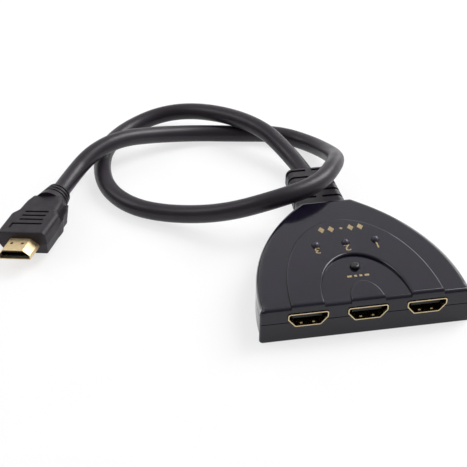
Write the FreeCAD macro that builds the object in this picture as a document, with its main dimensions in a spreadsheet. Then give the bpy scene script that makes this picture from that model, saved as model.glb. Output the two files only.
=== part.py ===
import FreeCAD
import Part
import Sketcher
import math
import os

# Compact HDMI switch box with a captive cable: two covers, a board with three
# receptacles, a select button over a push switch, three lamps and the cable
# with its plug. Millimetres. X is right, Y runs from the sockets to the cable,
# Z is up, and the origin is under the middle of the box and its strain relief.

doc = FreeCAD.newDocument("hdmi_splitter")
sheet = doc.addObject("Spreadsheet::Sheet", "Sizes")
Vector = FreeCAD.Vector

SIZES = {
    # Box outline
    "side_half": 38.95,
    "side_radius": 79.0,
    "side_centre": 5.1,
    "flare_out": 2.2,
    "flare_deep": 5.0,
    "box_deep": 66.0,
    "rim_proud": 0.4,
    "boot_long": 32.0,
    "rim_height": 15.0,
    "seam_height": 8.7,
    "wall": 1.8,
    "seam_wide": 0.3,
    "seam_sink": 0.4,
    "step_round": 0.8,
    "rear_round": 2.8,
    "side_round": 2.8,
    "front_round": 1.4,
    "base_round": 0.5,
    # Steps on the top
    "panel_half": 28.4,
    "panel_deep": 50.0,
    "panel_rise": 1.1,
    "recess_half": 16.2,
    "recess_deep": 27.0,
    "pad_half": 6.3,
    "pad_deep": 11.0,
    "pad_rise": 1.0,
    # Sockets
    "port_edge": 9.28,
    "port_headroom": 0.8,
    "port_half": 7.5,
    "port_tall": 5.8,
    "port_knee": 0.43,
    "port_foot": 4.77,
    "port_wall": 0.4,
    "port_deep": 12.0,
    "port_gap": 0.15,
    "port_corner": 0.9,
    "leg_front": 4.0,
    "leg_rear": 9.5,
    "leg_half": 0.6,
    "leg_below": 0.7,
    "leg_gap": 0.15,
    "tab_side": 2.3,
    "tab_half": 0.45,
    "tab_deep": 1.6,
    "tab_round": 1.2,
    "tab_rise": 0.4,
    "tongue_gap": 0.03,
    "tongue_root": 2.4,
    "tongue_drop": 0.4,
    "contact_back": 0.4,
    "tongue_half": 5.5,
    "tongue_thick": 1.5,
    "tongue_back": 1.6,
    "contact_pitch": 1.0,
    "contact_wide": 0.36,
    "contact_thick": 0.12,
    # Board
    "board_thick": 1.6,
    "board_gap": 0.5,
    "board_side_gap": 1.1,
    "board_waist": 22.0,
    "board_tail_gap": 3.3,
    "board_rear_gap": 17.5,
    # Screws
    "boss_round": 2.7,
    "boss_front_inset": 5.9,
    "boss_front_deep": 19.5,
    "boss_rear_inset": 6.6,
    "boss_rear_gap": 11.5,
    "screw_round": 1.1,
    "screw_head": 2.0,
    "screw_head_tall": 1.3,
    "screw_sink": 0.5,
    "screw_spare": 0.9,
    "slot_half": 0.3,
    "slot_deep": 0.7,
    "screw_gap": 0.15,
    "pilot_gap": 0.03,
    "rest_side": 12.0,
    "rest_back": 3.5,
    "rest_round": 2.0,
    # Button and switch
    "stem_round": 1.75,
    "stem_deep": 19.8,
    "stem_rise": 1.4,
    "stem_gap": 0.2,
    "stem_flange": 3.0,
    "flange_thick": 0.8,
    "flange_play": 0.3,
    "press_travel": 0.3,
    "switch_half": 3.0,
    "switch_tall": 3.4,
    "plate_thick": 0.25,
    "plunger_round": 1.6,
    "dome_tall": 0.5,
    "dome_round": 2.0,
    "dome_thick": 0.15,
    "press_spare": 0.05,
    "switch_floor": 1.6,
    "well_round": 2.3,
    "plunger_foot_round": 2.0,
    "plunger_foot_thick": 0.5,
    # Lamps
    "lamp_pitch": 11.7,
    "lamp_deep": 34.0,
    "lamp_round": 1.5,
    "lamp_rise": 1.4,
    "lamp_flange": 1.9,
    "lamp_lead": 0.25,
    "lamp_gap": 0.15,
    "lamp_lead_side": 1.27,
    "lamp_tall": 5.3,
    "lamp_flange_thick": 0.8,
    "lamp_lead_below": 0.8,
}
SIZES.update({
    # Small parts on the board
    "chip_half": 4.5,
    "chip_tall": 1.2,
    "chip_deep": 27.5,
    "chip_leads": 10,
    "lead_pitch": 0.9,
    "lead_wide": 0.35,
    "lead_long": 1.1,
    "lead_thick": 0.25,
    "regulator_side": 20.0,
    "regulator_deep": 32.0,
    "regulator_half": 1.8,
    "regulator_long_half": 3.2,
    "regulator_tall": 1.6,
    "regulator_leads": 3,
    "crystal_half": 1.6,
    "crystal_tall": 2.0,
    "capacitor_half": 1.0,
    "capacitor_tall": 1.6,
    "resistor_half": 0.8,
    # Wires and strain relief
    "wire_round": 0.45,
    "wire_pitch": 1.7,
    "wire_overlap": 2.5,
    "boot_start_half": 10.8,
    "boot_end_half": 9.5,
    "boot_low": 0.8,
    "boot_tall": 9.4,
    "boot_round": 3.0,
    "boot_neck_half": 6.6,
    "boot_neck_trim": 1.6,
    "boot_gap": 0.1,
    "boot_flange": 1.6,
    "boot_flange_thick": 1.6,
    "boot_tail_round": 1.0,
    "groove_count": 5,
    "groove_first": 8.6,
    "groove_pitch": 5.1,
    "groove_wide": 1.3,
    "groove_sink": 1.2,
    "groove_core": 8.4,
    "spine_half": 1.25,
    # Cable
    "cable_round": 3.75,
    "cable_height": 5.5,
    # Plug, from the cable's end to its tip
    "tail_long": 9.2,
    "tail_round": 5.1,
    "tail_wide": 6.6,
    "tail_ribs": 3,
    "tail_rib_pitch": 2.1,
    "tail_rib_gap": 0.9,
    "tail_rib_sink": 0.6,
    "tail_rib_step": 0.34,
    "grip_long": 27.0,
    "grip_half": 10.8,
    "grip_shoulder": 14.5,
    "grip_neck_half": 8.7,
    "grip_neck": 17.5,
    "grip_waist_half": 8.2,
    "grip_waist": 24.0,
    "grip_back_half": 7.2,
    "grip_over": 5.0,
    "grip_under": 5.8,
    "grip_taper": 14.0,
    "grip_round": 2.2,
    "grip_edge": 0.6,
    "flank_start": 11.5,
    "flank_half": 11.0,
    "flank_rise": 14.0,
    "flank_fall": 16.5,
    "flank_rear_half": 9.9,
    "flank_step": 19.5,
    "flank_rear": 23.0,
    "flank_notch_half": 8.7,
    "flank_notch": 25.0,
    "flank_level": 0.5,
    "grip_overlap": 1.0,
    "flank_round": 1.0,
    "grip_groove_left": 4.3,
    "grip_groove_right": 6.2,
    "grip_groove_first": 9.0,
    "grip_groove_pitch": 2.8,
    "grip_groove_wide": 1.0,
    "grip_groove_sink": 0.7,
    "grip_bar_left": 6.4,
    "grip_bar_right": 7.0,
    "grip_bar_back": 5.9,
    "grip_bar_leg": 2.5,
    "plug_half": 6.95,
    "plug_foot": 4.4,
    "plug_tall": 4.45,
    "plug_knee": 0.3,
    "plug_wall": 0.3,
    "plug_corner": 0.5,
    "plug_proud": 8.0,
    "plug_inside": 5.0,
    "plug_hole_side": 2.4,
    "plug_hole_ahead": 3.4,
    "plug_hole_round": 0.65,
    "insulator_back": 0.8,
    "slot_wide_half": 5.8,
    "slot_tall": 1.9,
    "slot_drop": 0.2,
})

for row, (alias, value) in enumerate(SIZES.items(), start=1):
    sheet.set(f"A{row}", alias)
    sheet.set(f"B{row}", str(value))
    sheet.setAlias(f"B{row}", alias)
doc.recompute()


class Size:
    """A length that carries its value and the sheet formula behind it."""

    def __init__(self, value, formula):
        self.value = value
        self.formula = formula

    def joined(self, sign, other, value):
        return Size(value, f"({self.formula} {sign} {other.formula})")

    def __add__(self, other):
        other = as_size(other)
        return self.joined("+", other, self.value + other.value)

    def __sub__(self, other):
        other = as_size(other)
        return self.joined("-", other, self.value - other.value)

    def __mul__(self, other):
        other = as_size(other)
        return self.joined("*", other, self.value * other.value)

    def __truediv__(self, other):
        other = as_size(other)
        return self.joined("/", other, self.value / other.value)

    def __radd__(self, other):
        return as_size(other) + self

    def __rsub__(self, other):
        return as_size(other) - self

    def __rmul__(self, other):
        return as_size(other) * self

    def __neg__(self):
        return as_size(0) - self


class Dims:
    """The sheet's cells, read by name as sizes."""

    def __getattr__(self, name):
        return Size(float(sheet.get(name)), "Sizes." + name)


def as_size(number):
    if isinstance(number, Size):
        return number
    return Size(float(number), repr(number))


def root(size):
    return Size(math.sqrt(size.value), f"sqrt({size.formula})")


d = Dims()


def bind(thing, name, size):
    """Set a property of a thing from the sheet."""
    thing.setExpression(name, as_size(size).formula)


def place(thing, x=0, y=0, z=0):
    for axis, size in zip("xyz", (x, y, z)):
        bind(thing, "Placement.Base." + axis, size)


def box(name, x, y, z):
    """A box from its (low, high) pairs along X, Y and Z."""
    solid = doc.addObject("Part::Box", name)
    for prop, (low, high) in zip(("Length", "Width", "Height"), (x, y, z)):
        bind(solid, prop, as_size(high) - low)
    place(solid, x[0], y[0], z[0])
    return solid


def post(name, x, y, z, radius):
    """An upright cylinder at (x, y) between the (low, high) pair z."""
    solid = doc.addObject("Part::Cylinder", name)
    bind(solid, "Radius", radius)
    bind(solid, "Height", as_size(z[1]) - z[0])
    place(solid, x, y, z[0])
    return solid


def rod(name, x, y, z, radius, along):
    """A cylinder that lies along X or Y, from its low end."""
    solid = doc.addObject("Part::Cylinder", name)
    turn = FreeCAD.Rotation(Vector(0, 1, 0), 90)
    span = x
    if along == "y":
        turn = FreeCAD.Rotation(Vector(1, 0, 0), -90)
        span = y
    solid.Placement = FreeCAD.Placement(Vector(), turn)
    bind(solid, "Radius", radius)
    bind(solid, "Height", as_size(span[1]) - span[0])
    starts = [side[0] if isinstance(side, tuple) else side for side in (x, y, z)]
    place(solid, *starts)
    return solid


def ball(name, x, y, z, radius):
    solid = doc.addObject("Part::Sphere", name)
    bind(solid, "Radius", radius)
    place(solid, x, y, z)
    return solid


def fuse(name, shapes):
    joined = doc.addObject("Part::MultiFuse", name)
    joined.Shapes = shapes
    return joined


def cut(name, base, tools):
    tool = tools[0]
    if len(tools) > 1:
        tool = fuse(name + "_tools", tools)
    left = doc.addObject("Part::Cut", name)
    left.Base = base
    left.Tool = tool
    return left


def common(name, shapes):
    shared = doc.addObject("Part::MultiCommon", name)
    shared.Shapes = shapes
    return shared


def group(name, solids):
    """Several separate solids that share one node."""
    together = doc.addObject("Part::Compound", name)
    together.Links = solids
    return together


def new_body(name, base=None):
    body = doc.addObject("PartDesign::Body", name)
    if base is not None:
        body.BaseFeature = base
    return body


def new_sketch(body, name, role, offset):
    """A sketch on one of the body's origin planes, moved along its normal."""
    sketch = body.newObject("Sketcher::SketchObject", name)
    plane = next(item for item in body.Origin.OriginFeatures if item.Role == role)
    sketch.AttachmentSupport = [(plane, "")]
    sketch.MapMode = "FlatFace"
    bind(sketch, "AttachmentOffset.Base.z", offset)
    return sketch


def arc_centre(start, end, radius):
    """Centre of the short arc; a positive radius has it on the left."""
    chord = end - start
    left = Vector(-chord.y, chord.x, 0).normalize()
    rise = math.sqrt(radius ** 2 - (chord.Length / 2) ** 2)
    return (start + end) / 2 + left * math.copysign(rise, radius)


def draw_outline(sketch, corners, arcs=None):
    """Draw a closed outline whose corners and arc radii follow the sheet.

    arcs maps a side's number to (radius, +1 with the centre left or -1 right).
    """
    arcs = arcs or {}
    count = len(corners)
    points = [Vector(as_size(x).value, as_size(y).value, 0) for x, y in corners]
    ends = []
    for side in range(count):
        start, end = points[side], points[(side + 1) % count]
        if side not in arcs:
            sketch.addGeometry(Part.LineSegment(start, end))
            ends.append((1, 2))
            continue
        radius, hand = arcs[side]
        centre = arc_centre(start, end, hand * radius.value)
        if hand < 0:
            start, end = end, start
        low = math.atan2(start.y - centre.y, start.x - centre.x)
        high = math.atan2(end.y - centre.y, end.x - centre.x)
        if high < low:
            high += 2 * math.pi
        circle = Part.Circle(centre, Vector(0, 0, 1), radius.value)
        sketch.addGeometry(Part.ArcOfCircle(circle, low, high))
        ends.append((1, 2) if hand > 0 else (2, 1))
    for side, (x, y) in enumerate(corners):
        following = (side + 1) % count
        sketch.addConstraint(Sketcher.Constraint(
            "Coincident", side, ends[side][1], following, ends[following][0]))
        for kind, size in (("DistanceX", as_size(x)), ("DistanceY", as_size(y))):
            index = sketch.addConstraint(Sketcher.Constraint(
                kind, -1, 1, side, ends[side][0], size.value))
            sketch.setExpression(f"Constraints[{index}]", size.formula)
        if side in arcs:
            radius = arcs[side][0]
            index = sketch.addConstraint(Sketcher.Constraint("Radius", side, radius.value))
            sketch.setExpression(f"Constraints[{index}]", radius.formula)


def pad(body, name, sketch, length):
    """Pad along the sketch's normal."""
    feature = body.newObject("PartDesign::Pad", name)
    feature.Profile = sketch
    bind(feature, "Length", length)
    body.Tip = feature
    return feature


def pocket(body, name, sketch, length):
    """Pocket against the sketch's normal."""
    feature = body.newObject("PartDesign::Pocket", name)
    feature.Profile = sketch
    bind(feature, "Length", length)
    body.Tip = feature
    return feature


def rounded(body, name, radius, wanted):
    """Fillet the edges of the body that the wanted test picks."""
    doc.recompute()
    base = body.Tip
    names = [f"Edge{number}" for number, edge in enumerate(base.Shape.Edges, start=1)
             if wanted(edge)]
    if not names:
        raise ValueError("no edge found for " + name)
    feature = body.newObject("PartDesign::Fillet", name)
    feature.Base = (base, names)
    bind(feature, "Radius", radius)
    body.Tip = feature
    return feature


NEAR = 1e-4


def flat_at(edge, axis, size):
    """True if the edge lies in the plane where the axis has that size."""
    bound = edge.BoundBox
    low, high = getattr(bound, axis + "Min"), getattr(bound, axis + "Max")
    value = as_size(size).value
    return abs(low - value) < NEAR and abs(high - value) < NEAR


def runs_along(edge, axis):
    """True for a straight edge that runs along the axis."""
    bound = edge.BoundBox
    lengths = {"X": bound.XLength, "Y": bound.YLength, "Z": bound.ZLength}
    longest = lengths.pop(axis)
    return longest > NEAR and max(lengths.values()) < NEAR


# Levels and depths that many pieces share
front = d.rim_proud - (d.rim_proud + d.box_deep + d.boot_long) / 2
rear = front + d.box_deep
boot_end = rear + d.boot_long
ceiling = d.rim_height - d.wall
panel_top = d.rim_height + d.panel_rise
port_height = ceiling - d.port_tall / 2 - d.port_headroom
port_pitch = d.side_half - d.port_half - d.port_edge
board_deep = d.box_deep - d.board_rear_gap
screw_tip = ceiling - d.screw_spare
board_top = port_height - d.port_tall / 2
board_low = board_top - d.board_thick
side_shift = d.side_radius - d.side_half


def side_at(deep, inset=0):
    """Half width of the box at a depth behind the front face."""
    reach = d.side_radius - inset
    across = deep - d.side_centre
    return root(reach * reach - across * across) - side_shift


def draw_plan(sketch, inset, start, end):
    """The waisted plan without the flare, between two depths."""
    wide, narrow = side_at(start, inset), side_at(end, inset)
    corners = [(wide, front + start), (narrow, front + end),
               (-narrow, front + end), (-wide, front + start)]
    arc = (d.side_radius - inset, 1)
    draw_outline(sketch, corners, {0: arc, 2: arc})


def draw_envelope(sketch, inset):
    """The outer plan: waisted sides that flare out at the front corners."""
    wide = side_at(d.flare_deep) - inset
    narrow = side_at(d.box_deep) - inset
    corner = wide + d.flare_out
    flare_radius = (d.flare_deep * d.flare_deep + d.flare_out * d.flare_out) / (2 * d.flare_out)
    start, shoulder, end = front + inset, front + d.flare_deep, rear - inset
    corners = [(corner, start), (wide, shoulder), (narrow, end),
               (-narrow, end), (-wide, shoulder), (-corner, start)]
    side = (d.side_radius, 1)
    flare = (flare_radius, -1)
    draw_outline(sketch, corners, {0: flare, 1: side, 3: side, 4: flare})


def make_envelope():
    """The outer form of the closed box, later split at the seam."""
    body = new_body("envelope")
    sketch = new_sketch(body, "envelope_plan", "XY_Plane", 0)
    draw_envelope(sketch, 0)
    pad(body, "envelope_block", sketch, d.rim_height)
    rounded(body, "envelope_rear", d.rear_round,
            lambda edge: flat_at(edge, "Y", rear) and flat_at(edge, "Z", d.rim_height))
    rounded(body, "envelope_sides", d.side_round,
            lambda edge: flat_at(edge, "Z", d.rim_height) and not runs_along(edge, "X"))
    rounded(body, "envelope_front", d.front_round,
            lambda edge: flat_at(edge, "Y", front) and not flat_at(edge, "Z", 0))
    rounded(body, "envelope_base", d.base_round, lambda edge: flat_at(edge, "Z", 0))
    return body


def ellipse_plate(name, half, deep, low, high):
    """An upright plate with a half-ellipse plan that starts at the front face."""
    curve = doc.addObject("Part::Ellipse", name + "_curve")
    curve.Placement = FreeCAD.Placement(Vector(), FreeCAD.Rotation(Vector(0, 0, 1), 90))
    bind(curve, "MajorRadius", deep)
    bind(curve, "MinorRadius", half)
    place(curve, 0, front, low)
    plate = doc.addObject("Part::Extrusion", name + "_full")
    plate.Base = curve
    plate.DirMode = "Custom"
    plate.Dir = Vector(0, 0, 1)
    plate.Solid = True
    bind(plate, "LengthFwd", as_size(high) - low)
    ahead = box(name + "_ahead", (-half * 2, half * 2), (front - deep - 1, front),
                (low - 1, high + 1))
    return cut(name, plate, [ahead])


def eased(name, base, size, level):
    """Ease the curved edges of the top face of a plate."""
    body = new_body(name, base)
    rounded(body, name + "_edge", size,
            lambda edge: flat_at(edge, "Z", level) and not runs_along(edge, "X"))
    return body


def make_steps():
    """The raised panel, open over the recess, and the small pad in front of the button."""
    low = d.rim_height - d.front_round - d.step_round
    pad_top = d.rim_height + d.pad_rise
    panel = ellipse_plate("panel", d.panel_half, d.panel_deep, low, panel_top)
    recess = ellipse_plate("recess", d.recess_half, d.recess_deep, low - 1, panel_top + 1)
    ring = eased("panel_step", cut("panel_ring", panel, [recess]), d.step_round, panel_top)
    small = ellipse_plate("small_plate", d.pad_half, d.pad_deep, low, pad_top)
    raised = eased("pad_step", small, d.step_round, pad_top)
    return [common("panel_rounded", [ring, front_block("panel_block", low, panel_top)]),
            common("pad_rounded", [raised, front_block("pad_block", low, pad_top)])]


def front_block(name, low, high):
    """A block over the whole top, with its front edge rounded like the rim."""
    body = new_body(name)
    plan = new_sketch(body, name + "_plan", "XY_Plane", low)
    side = d.side_half
    draw_outline(plan, [(-side, front), (side, front), (side, rear), (-side, rear)])
    pad(body, name + "_pad", plan, high - low)
    rounded(body, name + "_front", d.front_round,
            lambda edge: flat_at(edge, "Y", front) and flat_at(edge, "Z", high))
    return body


def d_corners(middle, level, half, foot, tall, knee, inset, flip=1):
    """The D-shaped socket outline, wide side up, or down when flip is -1."""
    half_tall = tall / 2
    run, rise = half - foot, knee + half_tall
    slope = root(run * run + rise * rise)
    toe = foot + inset * (run - slope) / rise
    wide = half - inset
    bend = (wide - foot) * rise / run + inset * slope / run - half_tall
    low, high = inset - half_tall, half_tall - inset
    shape = [(-toe, low), (toe, low), (wide, bend), (wide, high), (-wide, high), (-wide, bend)]
    if flip < 0:
        shape.reverse()
    return [(middle + x, level + flip * z) for x, z in shape]


def port_prism(name, middle, inset, start, end, corner):
    """A prism of the socket outline between two places along Y."""
    body = new_body(name)
    sketch = new_sketch(body, name + "_outline", "XZ_Plane", -as_size(end))
    draw_outline(sketch, d_corners(middle, port_height, d.port_half, d.port_foot,
                                   d.port_tall, d.port_knee, as_size(inset)))
    pad(body, name + "_prism", sketch, as_size(end) - start)
    rounded(body, name + "_corners", corner, lambda edge: runs_along(edge, "Y"))
    return body


def port_middles():
    return [-port_pitch, as_size(0), port_pitch]


def boss_places():
    """Screw places as (x, y), the front pair first."""
    places = []
    for deep, inset in ((d.boss_front_deep, d.boss_front_inset),
                        (d.box_deep - d.boss_rear_gap, d.boss_rear_inset)):
        side = side_at(deep) - inset
        places += [(-side, front + deep), (side, front + deep)]
    return places


def cavity(name, low, high):
    """The room inside the covers between two heights."""
    body = new_body(name)
    sketch = new_sketch(body, name + "_plan", "XY_Plane", low)
    draw_plan(sketch, d.wall, d.wall, d.box_deep - d.wall)
    pad(body, name + "_room", sketch, as_size(high) - low)
    return body


def port_openings(name):
    """Holes in the front wall, a clearance larger than the sockets."""
    start, end = front - 1, front + d.wall + 1
    return [port_prism(f"{name}_port_{number}", middle, -d.port_gap, start, end, d.port_corner)
            for number, middle in enumerate(port_middles(), start=1)]


def boot_neck(gap=0):
    """Half width and heights of the strain relief's neck in the rear wall."""
    low = d.boot_low + d.boot_neck_trim
    high = d.boot_low + d.boot_tall - d.boot_neck_trim
    return d.boot_neck_half + gap, low - gap, high + gap


def boot_slot(name):
    """The way through the rear wall for the strain relief's neck."""
    half, low, high = boot_neck(d.boot_gap)
    return box(name, (-half, half), (rear - d.wall - 1, rear + 1), (low, high))


def make_top_cover(envelope):
    reach = d.side_half + d.flare_out + 2
    upper = box("above_seam", (-reach, reach), (front - 2, rear + 2),
                (d.seam_height, d.rim_height + 2))
    skin = fuse("top_skin", [common("top_blank", [envelope, upper])] + make_steps())
    shell = cut("top_shell", skin, [cavity("top_cavity", d.seam_height - 1, ceiling)])
    bosses, holes = [], []
    for number, (x, y) in enumerate(boss_places(), start=1):
        low = board_top if number < 3 else d.seam_height
        bosses.append(post(f"top_boss_{number}", x, y, (low, ceiling + 0.1), d.boss_round))
        holes.append(post(f"pilot_{number}", x, y, (low - 1, screw_tip + d.screw_gap),
                          d.screw_round + d.pilot_gap))
    for number, x in enumerate(lamp_places(), start=1):
        holes.append(post(f"lamp_hole_{number}", x, front + d.lamp_deep,
                          (ceiling - 1, panel_top + 1), d.lamp_round + d.lamp_gap))
    holes.append(post("stem_hole", 0, front + d.stem_deep, (ceiling - 1, d.rim_height + 1),
                      d.stem_round + d.stem_gap))
    solid = fuse("top_with_bosses", [shell] + bosses)
    return cut("top_cover", solid, holes + port_openings("top") + [boot_slot("top_slot")])


def seam_line(reach):
    """A fine shadow line round the outside, just below the seam."""
    low = d.seam_height - d.seam_wide
    block = box("seam_block", (-reach, reach), (front - 2, rear + 2), (low, d.seam_height + 1))
    core = new_body("seam_core")
    sketch = new_sketch(core, "seam_core_plan", "XY_Plane", low - 1)
    draw_envelope(sketch, d.seam_sink)
    pad(core, "seam_core_room", sketch, d.rim_height)
    return cut("seam_ring", block, [core])


def make_bottom_cover(envelope):
    reach = d.side_half + d.flare_out + 2
    lower = box("below_seam", (-reach, reach), (front - 2, rear + 2), (-1, d.seam_height))
    blank = common("bottom_blank", [envelope, lower])
    shell = cut("bottom_shell", blank, [cavity("bottom_cavity", d.wall, d.seam_height + 1),
                                        seam_line(reach)])
    bosses, holes = [], []
    for number, (x, y) in enumerate(boss_places(), start=1):
        high = board_low if number < 3 else d.seam_height
        bosses.append(post(f"bottom_boss_{number}", x, y, (d.wall - 0.1, high), d.boss_round))
        holes.append(post(f"screw_way_{number}", x, y, (-1, high + 1),
                          d.screw_round + d.screw_gap))
        holes.append(post(f"head_way_{number}", x, y, (-1, d.screw_sink + d.screw_head_tall),
                          d.screw_head + d.screw_gap))
    for number, side in enumerate((-1, 1), start=1):
        bosses.append(post(f"board_rest_{number}", side * d.rest_side,
                           front + board_deep - d.rest_back, (d.wall - 0.1, board_low),
                           d.rest_round))
    solid = fuse("bottom_with_bosses", [shell] + bosses)
    return cut("bottom_cover", solid,
               holes + port_openings("bottom") + [boot_slot("bottom_slot")])


def make_board():
    body = new_body("board_blank")
    sketch = new_sketch(body, "board_plan", "XY_Plane", board_low)
    start = front + d.wall + d.board_gap
    waist, end = front + d.board_waist, front + board_deep
    half = side_at(d.board_waist, d.wall) - d.board_side_gap
    tail_half = side_at(board_deep, d.wall) - d.board_tail_gap
    draw_outline(sketch, [(-half, start), (half, start), (half, waist), (tail_half, end),
                          (-tail_half, end), (-half, waist)])
    pad(body, "board_plate", sketch, d.board_thick)
    through = (board_low - 1, board_top + 1)
    holes = [post(f"board_hole_{number}", x, y, through, d.screw_round + 2 * d.screw_gap)
             for number, (x, y) in enumerate(boss_places()[:2], start=1)]
    for port, middle in enumerate(port_middles(), start=1):
        for leg, (x, y) in enumerate(port_legs(middle, d.leg_gap), start=1):
            holes.append(box(f"leg_slot_{port}_{leg}", x, y, through))
    for lamp, x in enumerate(lamp_places(), start=1):
        for side in (-1, 1):
            name = f"lead_hole_{lamp}_{'left' if side < 0 else 'right'}"
            holes.append(post(name, x + side * d.lamp_lead_side, front + d.lamp_deep,
                              through, d.lamp_lead * 2))
    return cut("circuit_board", body, holes)


def lamp_places():
    return [-d.lamp_pitch, as_size(0), d.lamp_pitch]


def port_legs(middle, gap=0):
    """The four solder legs of a socket shell, as (x, y) spans."""
    spans = []
    for side in (-1, 1):
        outer = middle + side * (d.port_half + gap)
        inner = middle + side * (d.port_half - d.port_wall - gap)
        x = (outer, inner) if side < 0 else (inner, outer)
        for deep in (d.leg_front, d.leg_rear):
            y = front + deep
            spans.append((x, (y - d.leg_half - gap, y + d.leg_half + gap)))
    return spans


def make_port(number, middle):
    """One receptacle: metal shell, plastic tongue and its contacts."""
    name = f"port_{number}"
    start, end = front - d.rim_proud, front + d.port_deep
    inner_corner = d.port_corner - d.port_wall / 2
    outer = port_prism(name + "_outer", middle, 0, start, end, d.port_corner)
    hollow = port_prism(name + "_hollow", middle, d.port_wall, start - 1, end - d.port_wall,
                        inner_corner)
    tube = cut(name + "_tube", outer, [hollow])
    extras = [box(f"{name}_leg_{leg}", x, y,
                  (board_low - d.leg_below, port_height + d.port_knee))
              for leg, (x, y) in enumerate(port_legs(middle), start=1)]
    shell = fuse(f"port_shell_{number}", [tube] + extras + port_springs(name, middle))

    seat = end - d.port_wall
    block = port_prism(name + "_block", middle, d.port_wall + d.tongue_gap,
                       seat - d.tongue_root, seat, inner_corner)
    low = port_height - d.tongue_drop
    high = low + d.tongue_thick
    blade = box(name + "_blade", (middle - d.tongue_half, middle + d.tongue_half),
                (front + d.tongue_back, seat - d.tongue_root + 0.1), (low, high))
    tongue = fuse(f"port_tongue_{number}", [block, blade])

    contacts = []
    for row_name, count, level in (("upper", 10, high), ("lower", 9, low - d.contact_thick)):
        for index in range(count):
            x = middle + (index - (count - 1) / 2) * d.contact_pitch
            contacts.append(box(f"{name}_{row_name}_{index + 1}",
                                (x - d.contact_wide / 2, x + d.contact_wide / 2),
                                (front + d.tongue_back + d.contact_back, seat - d.tongue_root),
                                (level, level + d.contact_thick)))
    return [shell, tongue, group(f"port_contacts_{number}", contacts)]


def port_springs(name, middle):
    """Pressed-in spring tabs that show as bright spots just inside the mouth."""
    floor = port_height - d.port_tall / 2 + d.port_wall
    roof = port_height + d.port_tall / 2 - d.port_wall
    tabs = []
    for side in (-1, 1):
        x = middle + side * d.tab_side
        span = (x - d.tab_half, x + d.tab_half)
        y = front + d.tab_deep
        tag = f"{name}_tab_{'left' if side < 0 else 'right'}"
        for label, out, level, keep in (
                ("low", -1, floor, (floor - d.port_wall / 2, floor + d.tab_rise)),
                ("high", 1, roof, (roof - d.tab_rise, roof + d.port_wall / 2))):
            centre = level + out * (d.tab_round - d.tab_rise)
            roll = rod(f"{tag}_{label}_roll", span, y, centre, d.tab_round, "x")
            room = box(f"{tag}_{label}_room", (span[0] - 1, span[1] + 1),
                       (y - d.tab_round, y + d.tab_round), keep)
            tabs.append(common(f"{tag}_{label}", [roll, room]))
    return tabs


def make_lamp(number, x):
    """A clear lamp whose dome stands through the top cover."""
    name = f"led_{number}"
    y = front + d.lamp_deep
    crown = panel_top + d.lamp_rise
    foot = crown - d.lamp_tall
    shape = [post(name + "_barrel", x, y, (foot, crown - d.lamp_round), d.lamp_round),
             ball(name + "_dome", x, y, crown - d.lamp_round, d.lamp_round),
             post(name + "_flange", x, y, (foot, foot + d.lamp_flange_thick), d.lamp_flange)]
    for side in (-1, 1):
        lead = x + side * d.lamp_lead_side
        shape.append(box(f"{name}_lead_{'left' if side < 0 else 'right'}",
                         (lead - d.lamp_lead, lead + d.lamp_lead),
                         (y - d.lamp_lead, y + d.lamp_lead),
                         (board_low - d.lamp_lead_below, foot + 0.1)))
    return fuse(name, shape)


def switch_levels():
    """Heights in the push switch: plate, dome foot and plunger foot."""
    plate = board_top + d.switch_tall
    dome = board_top + d.switch_floor
    return plate, dome, dome + d.dome_tall + d.press_travel + d.press_spare


def make_button():
    """The stem that stands out of the top, with the flange that keeps it in."""
    y = front + d.stem_deep
    flange_top = ceiling - d.flange_play
    foot = flange_top - d.flange_thick
    body = new_body("select_button")
    stem = new_sketch(body, "stem_circle", "XY_Plane", foot)
    draw_circle(stem, y, d.stem_round)
    pad(body, "stem", stem, d.rim_height + d.stem_rise - foot)
    collar = new_sketch(body, "collar_circle", "XY_Plane", foot)
    draw_circle(collar, y, d.stem_flange)
    pad(body, "collar", collar, d.flange_thick)
    rounded(body, "stem_edge", d.step_round,
            lambda edge: flat_at(edge, "Z", d.rim_height + d.stem_rise))
    return body, foot


def draw_circle(sketch, y, radius):
    sketch.addGeometry(Part.Circle(Vector(0, y.value, 0), Vector(0, 0, 1), radius.value))
    sketch.addConstraint(Sketcher.Constraint("PointOnObject", 0, 3, -2))
    for kind, size, ends in (("DistanceY", y, (-1, 1, 0, 3)), ("Radius", radius, (0,))):
        index = sketch.addConstraint(Sketcher.Constraint(kind, *ends, size.value))
        sketch.setExpression(f"Constraints[{index}]", size.formula)


def make_switch(stem_foot):
    """The push switch under the stem: base, plate, plunger and snap dome."""
    y = front + d.stem_deep
    plate_low, dome_foot, plunger_foot = switch_levels()
    plate_top = plate_low + d.plate_thick
    half = d.switch_half
    block = box("switch_block", (-half, half), (y - half, y + half), (board_top, plate_low))
    well = post("switch_well", 0, y, (dome_foot, plate_low + 1), d.well_round)
    base = cut("switch_base", block, [well])
    sheet_metal = box("plate_blank", (-half, half), (y - half, y + half), (plate_low, plate_top))
    eye = post("plate_eye", 0, y, (plate_low - 1, plate_top + 1), d.plunger_round + d.stem_gap)
    plate = cut("switch_plate", sheet_metal, [eye])
    plunger = fuse("switch_plunger", [
        post("plunger_pin", 0, y, (plunger_foot, stem_foot), d.plunger_round),
        post("plunger_foot", 0, y, (plunger_foot, plunger_foot + d.plunger_foot_thick),
             d.plunger_foot_round)])
    curve = (d.dome_round * d.dome_round + d.dome_tall * d.dome_tall) / (2 * d.dome_tall)
    centre = dome_foot + d.dome_tall - curve
    keep = box("dome_keep", (-half, half), (y - half, y + half), (dome_foot, dome_foot + half))
    cap = common("dome_cap", [ball("dome_outside", 0, y, centre, curve), keep])
    dome = cut("switch_dome", cap, [ball("dome_inside", 0, y, centre, curve - d.dome_thick)])
    return [base, plate, plunger, dome]


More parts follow.
